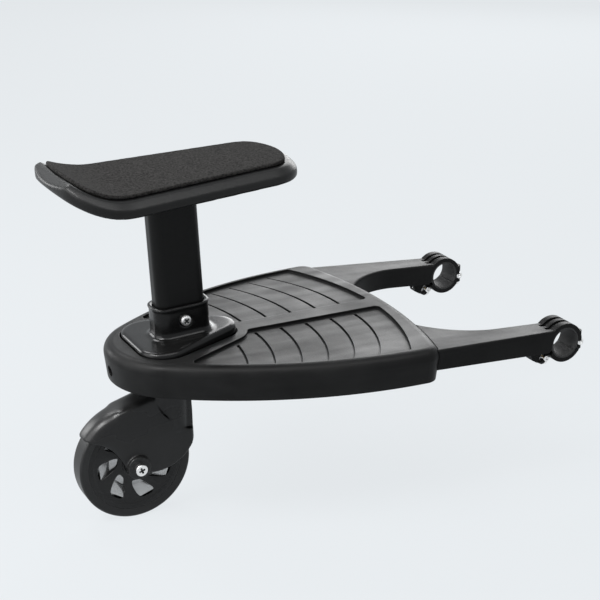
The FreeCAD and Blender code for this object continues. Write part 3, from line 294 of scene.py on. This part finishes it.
skinGroup = mouldedSkin(skinLook)
metalGroup = brushedMetal(platingLook)


# Finishes

plainSpecular = 0.2     # where a finish gives none
edgeSamples = 8


def finishMaterial(name, group, values, look):
    material = bpy.data.materials.new(name)
    material.use_nodes = True
    tree = material.node_tree
    links = tree.links
    shader = tree.nodes["Principled BSDF"]
    coords = newNode(tree, "ShaderNodeTexCoord")
    turned = newNode(tree, "ShaderNodeMapping", {"Rotation": look.get("turn", (0, 0, 0))})
    links.new(coords.outputs["Object"], turned.inputs["Vector"])
    effect = newNode(tree, "ShaderNodeGroup", node_tree=group)
    links.new(turned.outputs["Vector"], effect.inputs["Vector"])
    for key, value in values.items():
        effect.inputs[key].default_value = value
    softEdge = newNode(tree, "ShaderNodeBevel", {"Radius": look["edge"]}, samples=edgeSamples)
    relief = {"Strength": look["bump"], "Distance": look["depth"]}
    bump = newNode(tree, "ShaderNodeBump", relief)
    links.new(softEdge.outputs["Normal"], bump.inputs["Normal"])
    links.new(effect.outputs["Height"], bump.inputs["Height"])
    links.new(bump.outputs["Normal"], shader.inputs["Normal"])
    links.new(effect.outputs["Color"], shader.inputs["Base Color"])
    links.new(effect.outputs["Roughness"], shader.inputs["Roughness"])
    shader.inputs["Specular IOR Level"].default_value = look.get("specular", plainSpecular)
    for key, value in look.get("shader", {}).items():
        shader.inputs[key].default_value = value
    return material


def grey(level, warm=0.0):
    return (level * (1 + warm), level, level * (1 - warm), 1)


upright = (0, math.radians(90), 0)     # streaks along the height
plasticLabels = (
    "Grain Scale", "Streak Scale", "Wave", "Dark", "Light", "Smoothest", "Roughest",
)
plasticLooks = {
    "satinDeck": ((1500, 60, 6.0, grey(0.005), grey(0.009), 0.32, 0.50),
                  {"edge": 0.0008, "bump": 0.35, "depth": 0.0002, "specular": 0.10}),
    "satinArm": ((1500, 60, 6.0, grey(0.005), grey(0.009), 0.33, 0.48),
                 {"edge": 0.0009, "bump": 0.35, "depth": 0.0002, "specular": 0.065}),
    "satinShell": ((1900, 30, 2.0, grey(0.004), grey(0.007), 0.34, 0.42),
                   {"edge": 0.0008, "bump": 0.2, "depth": 0.0001, "specular": 0.2}),
    "glossBase": ((2200, 40, 1.0, grey(0.003), grey(0.005), 0.14, 0.22),
                  {"edge": 0.0040, "bump": 0.08, "depth": 0.0001, "specular": 0.2}),
    "satinFork": ((1900, 40, 2.0, grey(0.008), grey(0.012), 0.26, 0.34),
                  {"edge": 0.0012, "bump": 0.15, "depth": 0.0001, "specular": 0.25}),
    "semiGlossHub": ((1900, 60, 1.0, grey(0.005), grey(0.009), 0.18, 0.28),
                     {"edge": 0.0010, "bump": 0.12, "depth": 0.0001, "specular": 0.25}),
    "silverHub": ((1900, 60, 1.0, grey(0.34), grey(0.46), 0.24, 0.34),
                  {"edge": 0.0004, "bump": 0.12, "depth": 0.0001, "specular": 0.5,
                   "shader": {"Metallic": 0.8}}),
    "plainInner": ((1200, 60, 1.0, grey(0.055), grey(0.085), 0.45, 0.58),
                   {"edge": 0.0004, "bump": 0.25, "depth": 0.0002}),
    "coatedPost": ((2600, 90, 1.0, grey(0.005), grey(0.007), 0.28, 0.36),
                   {"edge": 0.0004, "bump": 0.12, "depth": 0.0001, "specular": 0.1,
                    "turn": upright}),
    "softLiner": ((1300, 40, 1.0, grey(0.018), grey(0.028), 0.50, 0.62),
                  {"edge": 0.0004, "bump": 0.2, "depth": 0.0002}),
    "tyreRubber": ((1700, 40, 1.0, grey(0.006), grey(0.010), 0.32, 0.44),
                   {"edge": 0.0006, "bump": 0.2, "depth": 0.0001, "specular": 0.3}),
}
metalLabels = ("Line Scale", "Dark", "Light", "Smoothest", "Roughest")
metalLooks = {
    "brightZinc": ((900, grey(0.74, 0.01), grey(0.90, 0.01), 0.22, 0.36),
                   {"edge": 0.0003, "bump": 0.1, "depth": 0.0001, "shader": {"Metallic": 1.0}}),
    "groundSteel": ((1400, grey(0.46), grey(0.58), 0.18, 0.30),
                    {"edge": 0.0003, "bump": 0.1, "depth": 0.0001, "shader": {"Metallic": 1.0}}),
    # painted shade: a near-black finish laid on the screws' cross recesses, standing in for the
    # shade that falls there
    "paintedShadeRecess": ((900, grey(0.03), grey(0.05), 0.40, 0.55),
                     {"edge": 0.0003, "bump": 0.1, "depth": 0.0001, "shader": {"Metallic": 0.5}}),
    "turnedBrass": ((1200, (0.55, 0.38, 0.14, 1), (0.66, 0.48, 0.20, 1), 0.24, 0.36),
                    {"edge": 0.0003, "bump": 0.1, "depth": 0.0001, "shader": {"Metallic": 1.0}}),
}
finishes = {}
for group, labels, looks in ((skinGroup, plasticLabels, plasticLooks),
                             (metalGroup, metalLabels, metalLooks)):
    for name, (values, look) in looks.items():
        finishes[name] = finishMaterial(name, group, dict(zip(labels, values)), look)

slotFinishes = {
    "deck_plastic": "satinDeck",
    "arm_plastic": "satinArm",
    "shell_plastic": "satinShell",
    "gloss_plastic": "glossBase",
    "hub_plastic": "semiGlossHub",
    "inner_plastic": "plainInner",
    "post_coat": "coatedPost",
    "pad_foam": "softLiner",
    "liner_rubber": "softLiner",
    "tyre_rubber": "tyreRubber",
    "zinc_steel": "brightZinc",
    "bearing_steel": "groundSteel",
    "insert_brass": "turnedBrass",
}
nodeFinishes = {"fork": "satinFork"}
for part in frame["record"]["subparts"]:
    solid = frame["nodes"][part["node"]]
    chosen = nodeFinishes.get(part["node"], slotFinishes[part["material_slot"]])
    solid.data.materials.clear()
    solid.data.materials.append(finishes[chosen])
print("finishes made:", len(finishes))


# Steps that several pieces share

mergeGap = 0.00001
sharpAngle = math.radians(30)      # edges sharper than this stay crisp


def pickOnly(piece):
    bpy.ops.object.select_all(action="DESELECT")
    bpy.context.view_layer.objects.active = piece
    piece.select_set(True)


def applyModifier(piece, kind, name, **settings):
    modifier = piece.modifiers.new(name, kind)
    for key, value in settings.items():
        setattr(modifier, key, value)
    bpy.ops.object.modifier_apply(modifier=name)


def cutAway(piece, cutter, name):
    pickOnly(piece)
    applyModifier(piece, "BOOLEAN", name, operation="DIFFERENCE", object=cutter, solver="EXACT")
    bpy.data.objects.remove(cutter)


def evenCopy(node, name, voxel):
    # the solid's own mesh, merged and drawn again in small even faces
    piece = bpy.data.objects.new(name, frame["nodes"][node].data.copy())
    scene.collection.objects.link(piece)
    pickOnly(piece)
    bpy.ops.object.mode_set(mode="EDIT")
    bpy.ops.mesh.select_all(action="SELECT")
    bpy.ops.mesh.remove_doubles(threshold=mergeGap)
    bpy.ops.object.mode_set(mode="OBJECT")
    applyModifier(piece, "REMESH", "even", mode="VOXEL", voxel_size=voxel)
    piece.data.materials.clear()
    return piece


# Seat pad: a die-cut sheet of foam with a soft edge

padLook = {
    "voxel": 0.0010,
    "smoothRounds": 6,
    "smoothPull": 0.5,
    "dark": grey(0.004, 0.03),
    "light": grey(0.030, 0.03),
    "roughness": 0.92,
    "specular": 0.05,
    "cellScale": 1100.0,
    "specks": {"Scale": 420.0, "Detail": 5.0, "Roughness": 0.7},
    "speckSpread": (0.35, 0.68),
    "cellDepth": 0.0004,
    "cellBump": 0.55,
}


def foamMaterial(look):
    material = bpy.data.materials.new("charcoalFoam")
    material.use_nodes = True
    tree = material.node_tree
    links = tree.links
    shader = tree.nodes["Principled BSDF"]
    coords = newNode(tree, "ShaderNodeTexCoord")
    cells = newNode(tree, "ShaderNodeTexVoronoi", {"Scale": look["cellScale"]})
    links.new(coords.outputs["Object"], cells.inputs["Vector"])
    specks = noise(tree, coords.outputs["Object"], look["specks"])
    low, high = look["speckSpread"]
    spread = newNode(tree, "ShaderNodeMapRange", {"From Min": low, "From Max": high})
    links.new(specks, spread.inputs["Value"])
    colour = newNode(tree, "ShaderNodeMix", data_type="RGBA")
    colour.inputs["A"].default_value = look["dark"]
    colour.inputs["B"].default_value = look["light"]
    links.new(spread.outputs["Result"], colour.inputs["Factor"])
    links.new(colour.outputs["Result"], shader.inputs["Base Color"])
    grain = newNode(tree, "ShaderNodeMath", operation="MULTIPLY")
    links.new(cells.outputs["Distance"], grain.inputs[0])
    links.new(specks, grain.inputs[1])
    relief = {"Strength": look["cellBump"], "Distance": look["cellDepth"]}
    bump = newNode(tree, "ShaderNodeBump", relief)
    links.new(grain.outputs[0], bump.inputs["Height"])
    links.new(bump.outputs["Normal"], shader.inputs["Normal"])
    shader.inputs["Roughness"].default_value = look["roughness"]
    shader.inputs["Specular IOR Level"].default_value = look["specular"]
    return material


def makePad(look):
    pad = evenCopy("seat_pad", "foamPad", look["voxel"])
    applyModifier(pad, "SMOOTH", "softEdge",
                  factor=look["smoothPull"], iterations=look["smoothRounds"])
    bpy.ops.object.shade_smooth()
    pad.data.materials.append(foamMaterial(look))
    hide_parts("seat_pad")
    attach(pad, "board")
    return pad


pad = makePad(padLook)
print("foam pad made:", len(pad.data.polygons), "faces")


# Screw heads: a low dome with a cross recess, the recess painted near-black as shade, set on the
# flat heads of the solids

headLooks = {
    "postScrewHead": {
        "node": "post_bolt", "body": "board", "points": 48, "rimSteps": 4,
        "radius": 0.0055, "height": 0.0020, "rim": 0.0010, "turn": 40.0,
        "crossLength": 0.0066, "crossWidth": 0.0020, "crossDepth": 0.0018,
    },
    "axleScrewHead": {
        "node": "axle_bolt", "body": "caster", "points": 48, "rimSteps": 4,
        "radius": 0.0066, "height": 0.0020, "rim": 0.0010, "turn": 20.0,
        "crossLength": 0.0070, "crossWidth": 0.0022, "crossDepth": 0.0018,
    },
}
skinDepth = 0.0001      # faces nearer than this to the head's top or foot aren't in the recess
nearSide = Vector((0, -1, 0))


def dressedHead(name, look):
    # modelled at the origin, facing up
    height = look["height"]
    bpy.ops.object.select_all(action="DESELECT")
    bpy.ops.mesh.primitive_cylinder_add(vertices=look["points"], radius=look["radius"],
                                        depth=height, location=(0, 0, height / 2))
    head = bpy.context.object
    head.name = name
    bpy.ops.object.transform_apply(location=True)
    applyModifier(head, "BEVEL", "rim", width=look["rim"], segments=look["rimSteps"],
                  limit_method="ANGLE")
    for turn in (0, 90):
        bpy.ops.object.select_all(action="DESELECT")
        bpy.ops.mesh.primitive_cube_add(size=1, location=(0, 0, height),
                                        rotation=(0, 0, math.radians(turn + look["turn"])))
        blade = bpy.context.object
        blade.scale = (look["crossLength"], look["crossWidth"], 2 * look["crossDepth"])
        bpy.context.view_layer.update()
        cutAway(head, blade, "cross")
    bpy.ops.object.shade_smooth_by_angle(angle=sharpAngle)
    head.data.materials.append(finishes["brightZinc"])
    head.data.materials.append(finishes["paintedShadeRecess"])
    # painted shade: faces down in the cross recess take the near-black finish instead of the
    # plating
    for face in head.data.polygons:
        inside = math.hypot(face.center.x, face.center.y) < look["crossLength"] / 2
        sunk = skinDepth < face.center.z < height - skinDepth
        face.material_index = 1 if inside and sunk else 0
    return head


def seatHead(head, seat, facing, body):
    turn = Vector((0, 0, 1)).rotation_difference(facing).to_matrix().to_4x4()
    head.data.transform(Matrix.Translation(seat) @ turn)
    head.matrix_world = Matrix.Identity(4)
    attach(head, body)


for name, look in headLooks.items():
    low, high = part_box(look["node"])
    middle = (low + high) / 2
    seat = Vector((middle.x, low.y, middle.z))
    seatHead(dressedHead(name, look), seat, nearSide, look["body"])
print("screw heads dressed")


# Moulded pieces whose edges are drawn soft: hood, saddle and seat base

softLooks = {
    "fork": {
        "name": "softHood", "body": "caster", "finish": "satinFork", "slot": "gloss_plastic",
        "voxel": 0.0011, "rounds": 90, "evenRounds": 2, "pull": 0.5,
        "height": (0.018, 0.044),      # above the axle, where the softening sets in
        "stem": (0.020, 0.034),        # behind the axle, where it ends
    },
    "seat_shell": {
        "name": "softSaddle", "body": "board", "finish": "satinShell", "slot": "shell_plastic",
        "voxel": 0.0013, "rounds": 16, "evenRounds": 2, "pull": 0.5,
    },
    "seat_base": {
        "name": "softBase", "body": "board", "finish": "glossBase", "slot": "gloss_plastic",
        "voxel": 0.0008, "rounds": 16, "evenRounds": 2, "pull": 0.5,
    },
}
softAngle = math.radians(40)


def ramp(value, ends):
    share = min(max((value - ends[0]) / (ends[1] - ends[0]), 0), 1)
    return share * share * (3 - 2 * share)


def softWeight(place, look):
    # the saddle and the seat base are softened all over
    if "height" not in look:
        return 1.0
    return ramp(place.z, look["height"]) * (1 - ramp(place.x, look["stem"]))


def makeSoft(node, look):
    piece = evenCopy(node, look["name"], look["voxel"])
    low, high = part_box("wheel_hub")
    axle = (low + high) / 2
    soft = piece.vertex_groups.new(name="soft")
    for vertex in piece.data.vertices:
        soft.add([vertex.index], softWeight(vertex.co - axle, look), "REPLACE")
    applyModifier(piece, "SMOOTH", "shoulders", factor=look["pull"], iterations=look["rounds"],
                  vertex_group="soft")
    applyModifier(piece, "SMOOTH", "skin", factor=look["pull"], iterations=look["evenRounds"])
    bpy.ops.object.shade_smooth_by_angle(angle=softAngle)
    piece.data.materials.append(finishes[look["finish"]])
    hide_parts(node)
    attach(piece, look["body"])
    return piece


for node, look in softLooks.items():
    piece = makeSoft(node, look)
    print(piece.name, "made:", len(piece.data.polygons), "faces")


# Wheel hub: a turned disc with swept windows, and a silver faceted ring that closes them

hubLook = {
    # radius and half width of the turned section, from the bearing ledge to the rim
    "section": ((0.0080, 0.0050), (0.0110, 0.0050), (0.0110, 0.0120), (0.0150, 0.0120),
                (0.0150, 0.0095), (0.0460, 0.0095), (0.0475, 0.0105), (0.0530, 0.0105)),
    "steps": 112,
    "windows": 7,
    "windowPoints": 44,
    "windowRadii": (0.0200, 0.0428),
    "windowTurns": (269.5, 288.5),      # degrees, the window's middle at both radii
    "windowHalves": (17.0, 13.5),       # degrees, half its spread there
    "windowBow": 0.55,
    "cornerPower": 0.55,
    "rim": 0.0006,
    "rimSteps": 2,
    "rimAngle": 40.0,
    # radius and half width of the silver ring inside
    "ring": ((0.0180, 0.0088), (0.0305, 0.0034), (0.0445, 0.0090)),
}


def windowShare(radius, look):
    low, high = look["windowRadii"]
    return (radius - low) / (high - low)


def windowTurn(radius, look):
    start, end = look["windowTurns"]
    share = windowShare(radius, look)
    return start + (end - start) * (share + look["windowBow"] * share * (1 - share))


def windowHalf(radius, look):
    start, end = look["windowHalves"]
    return start + (end - start) * windowShare(radius, look)


def turnedRing(name, section, steps):
    # a closed section of radius and half width, turned about the y axis
    corners = [(r, y) for r, y in section] + [(r, -y) for r, y in reversed(section)]
    bpy.ops.object.select_all(action="DESELECT")
    bpy.ops.mesh.primitive_circle_add(vertices=len(corners), radius=section[-1][0],
                                      fill_type="NGON")
    ring = bpy.context.object
    ring.name = name
    for vertex, (radius, height) in zip(ring.data.vertices, corners):
        vertex.co = (radius, height, 0)
    bpy.ops.object.mode_set(mode="EDIT")
    bpy.ops.mesh.select_all(action="SELECT")
    bpy.ops.mesh.delete(type="ONLY_FACE")
    bpy.ops.mesh.select_all(action="SELECT")
    bpy.ops.mesh.spin(steps=steps, angle=2 * math.pi, center=(0, 0, 0), axis=(0, 1, 0))
    bpy.ops.mesh.select_all(action="SELECT")
    bpy.ops.mesh.remove_doubles(threshold=mergeGap)
    bpy.ops.mesh.normals_make_consistent(inside=False)
    bpy.ops.object.mode_set(mode="OBJECT")
    return ring


def squared(value, power):
    # pushes a circle's points out towards a rounded square
    return math.copysign(abs(value) ** power, value)


def windowCutter(turn, look):
    bpy.ops.object.select_all(action="DESELECT")
    bpy.ops.mesh.primitive_circle_add(vertices=look["windowPoints"], fill_type="NGON")
    cutter = bpy.context.object
    low, high = look["windowRadii"]
    reach = max(half for radius, half in look["section"])
    for number, vertex in enumerate(cutter.data.vertices):
        angle = 2 * math.pi * number / look["windowPoints"]
        across = squared(math.cos(angle), look["cornerPower"])
        along = squared(math.sin(angle), look["cornerPower"])
        radius = (low + high) / 2 + along * (high - low) / 2
        spread = across * windowHalf(radius, look)
        bearing = math.radians(windowTurn(radius, look) + spread + turn)
        vertex.co = (radius * math.cos(bearing), -reach, radius * math.sin(bearing))
    bpy.ops.object.mode_set(mode="EDIT")
    bpy.ops.mesh.select_all(action="SELECT")
    bpy.ops.mesh.extrude_region_move(TRANSFORM_OT_translate={"value": (0, 2 * reach, 0)})
    bpy.ops.mesh.select_all(action="SELECT")
    bpy.ops.mesh.normals_make_consistent(inside=False)
    bpy.ops.object.mode_set(mode="OBJECT")
    return cutter


def windowFloors(look):
    # one facet to a window, swept as the window is
    ring = turnedRing("windowFloors", look["ring"], look["windows"])
    step = 2 * math.pi / look["windows"]
    for vertex in ring.data.vertices:
        radius = math.hypot(vertex.co.x, vertex.co.z)
        number = round(math.atan2(vertex.co.z, vertex.co.x) / step)
        bearing = math.radians(windowTurn(radius, look)) + (number + 0.5) * step
        vertex.co = (radius * math.cos(bearing), vertex.co.y, radius * math.sin(bearing))
    return ring


def makeHub(look):
    hub = turnedRing("sweptHub", look["section"], look["steps"])
    for number in range(look["windows"]):
        cutAway(hub, windowCutter(number * 360 / look["windows"], look), "window")
    applyModifier(hub, "BEVEL", "rim", width=look["rim"], segments=look["rimSteps"],
                  limit_method="ANGLE", angle_limit=math.radians(look["rimAngle"]))
    ring = windowFloors(look)
    low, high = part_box("wheel_hub")
    for piece, finish, slot in ((hub, "semiGlossHub", "hub_plastic"),
                                (ring, "silverHub", "bearing_steel")):
        piece.data.transform(Matrix.Translation((low + high) / 2))
        piece.data.materials.append(finishes[finish])
        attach(piece, "wheel")
    pickOnly(hub)
    bpy.ops.object.shade_smooth_by_angle(angle=sharpAngle)
    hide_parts("wheel_hub")
    return hub


hub = makeHub(hubLook)
print("wheel hub made:", len(hub.data.polygons), "faces")


# Clamp dowels: barrels that cross the clamp bolts, with a ring turned into each end

dowelLook = {
    "clampCentre": 0.125,              # along the tube, both sides
    "jawPlace": (0.0270, -0.0060),     # along x and z, between the two jaws
    "slitPlace": (-0.0182, -0.0179),   # in the strap's second ear
    "jawRadius": 0.0040,
    "slitRadius": 0.0036,
    "length": 0.0164,
    "points": 40,
    "rim": 0.0005,
    "rimSteps": 3,
    "ringInset": 0.0012,
    "ringWidth": 0.0006,
    "ringDepth": 0.0008,
}
endFacing = 0.99        # faces this square to the axis are the dowel's ends


def makeDowel(name, place, radius, look):
    bpy.ops.object.select_all(action="DESELECT")
    bpy.ops.mesh.primitive_cylinder_add(vertices=look["points"], radius=radius,
                                        depth=look["length"])
    dowel = bpy.context.object
    dowel.name = name
    applyModifier(dowel, "BEVEL", "rim", width=look["rim"], segments=look["rimSteps"],
                  limit_method="ANGLE")
    for face in dowel.data.polygons:
        face.select = abs(face.normal.z) > endFacing
    width, depth = look["ringWidth"], look["ringDepth"]
    bpy.ops.object.mode_set(mode="EDIT")
    bpy.ops.mesh.select_mode(type="FACE")
    bpy.ops.mesh.inset(thickness=look["ringInset"], use_individual=True)
    bpy.ops.mesh.inset(thickness=width, use_individual=True, depth=-depth)
    bpy.ops.mesh.inset(thickness=width, use_individual=True, depth=depth)
    bpy.ops.object.mode_set(mode="OBJECT")
    turn = Matrix.Rotation(math.radians(90), 4, "X")
    dowel.data.transform(Matrix.Translation(place) @ turn)
    bpy.ops.object.shade_smooth_by_angle(angle=sharpAngle)
    dowel.data.materials.append(finishes["brightZinc"])
    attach(dowel, "board")


clampCentre = dowelLook["clampCentre"]
for side, centre in (("left", clampCentre), ("right", -clampCentre)):
    for spot in ("jaw", "slit"):
        along, height = dowelLook[spot + "Place"]
        makeDowel(side + spot.capitalize() + "Dowel", (along, centre, height),
                  dowelLook[spot + "Radius"], dowelLook)
print("clamp dowels made")
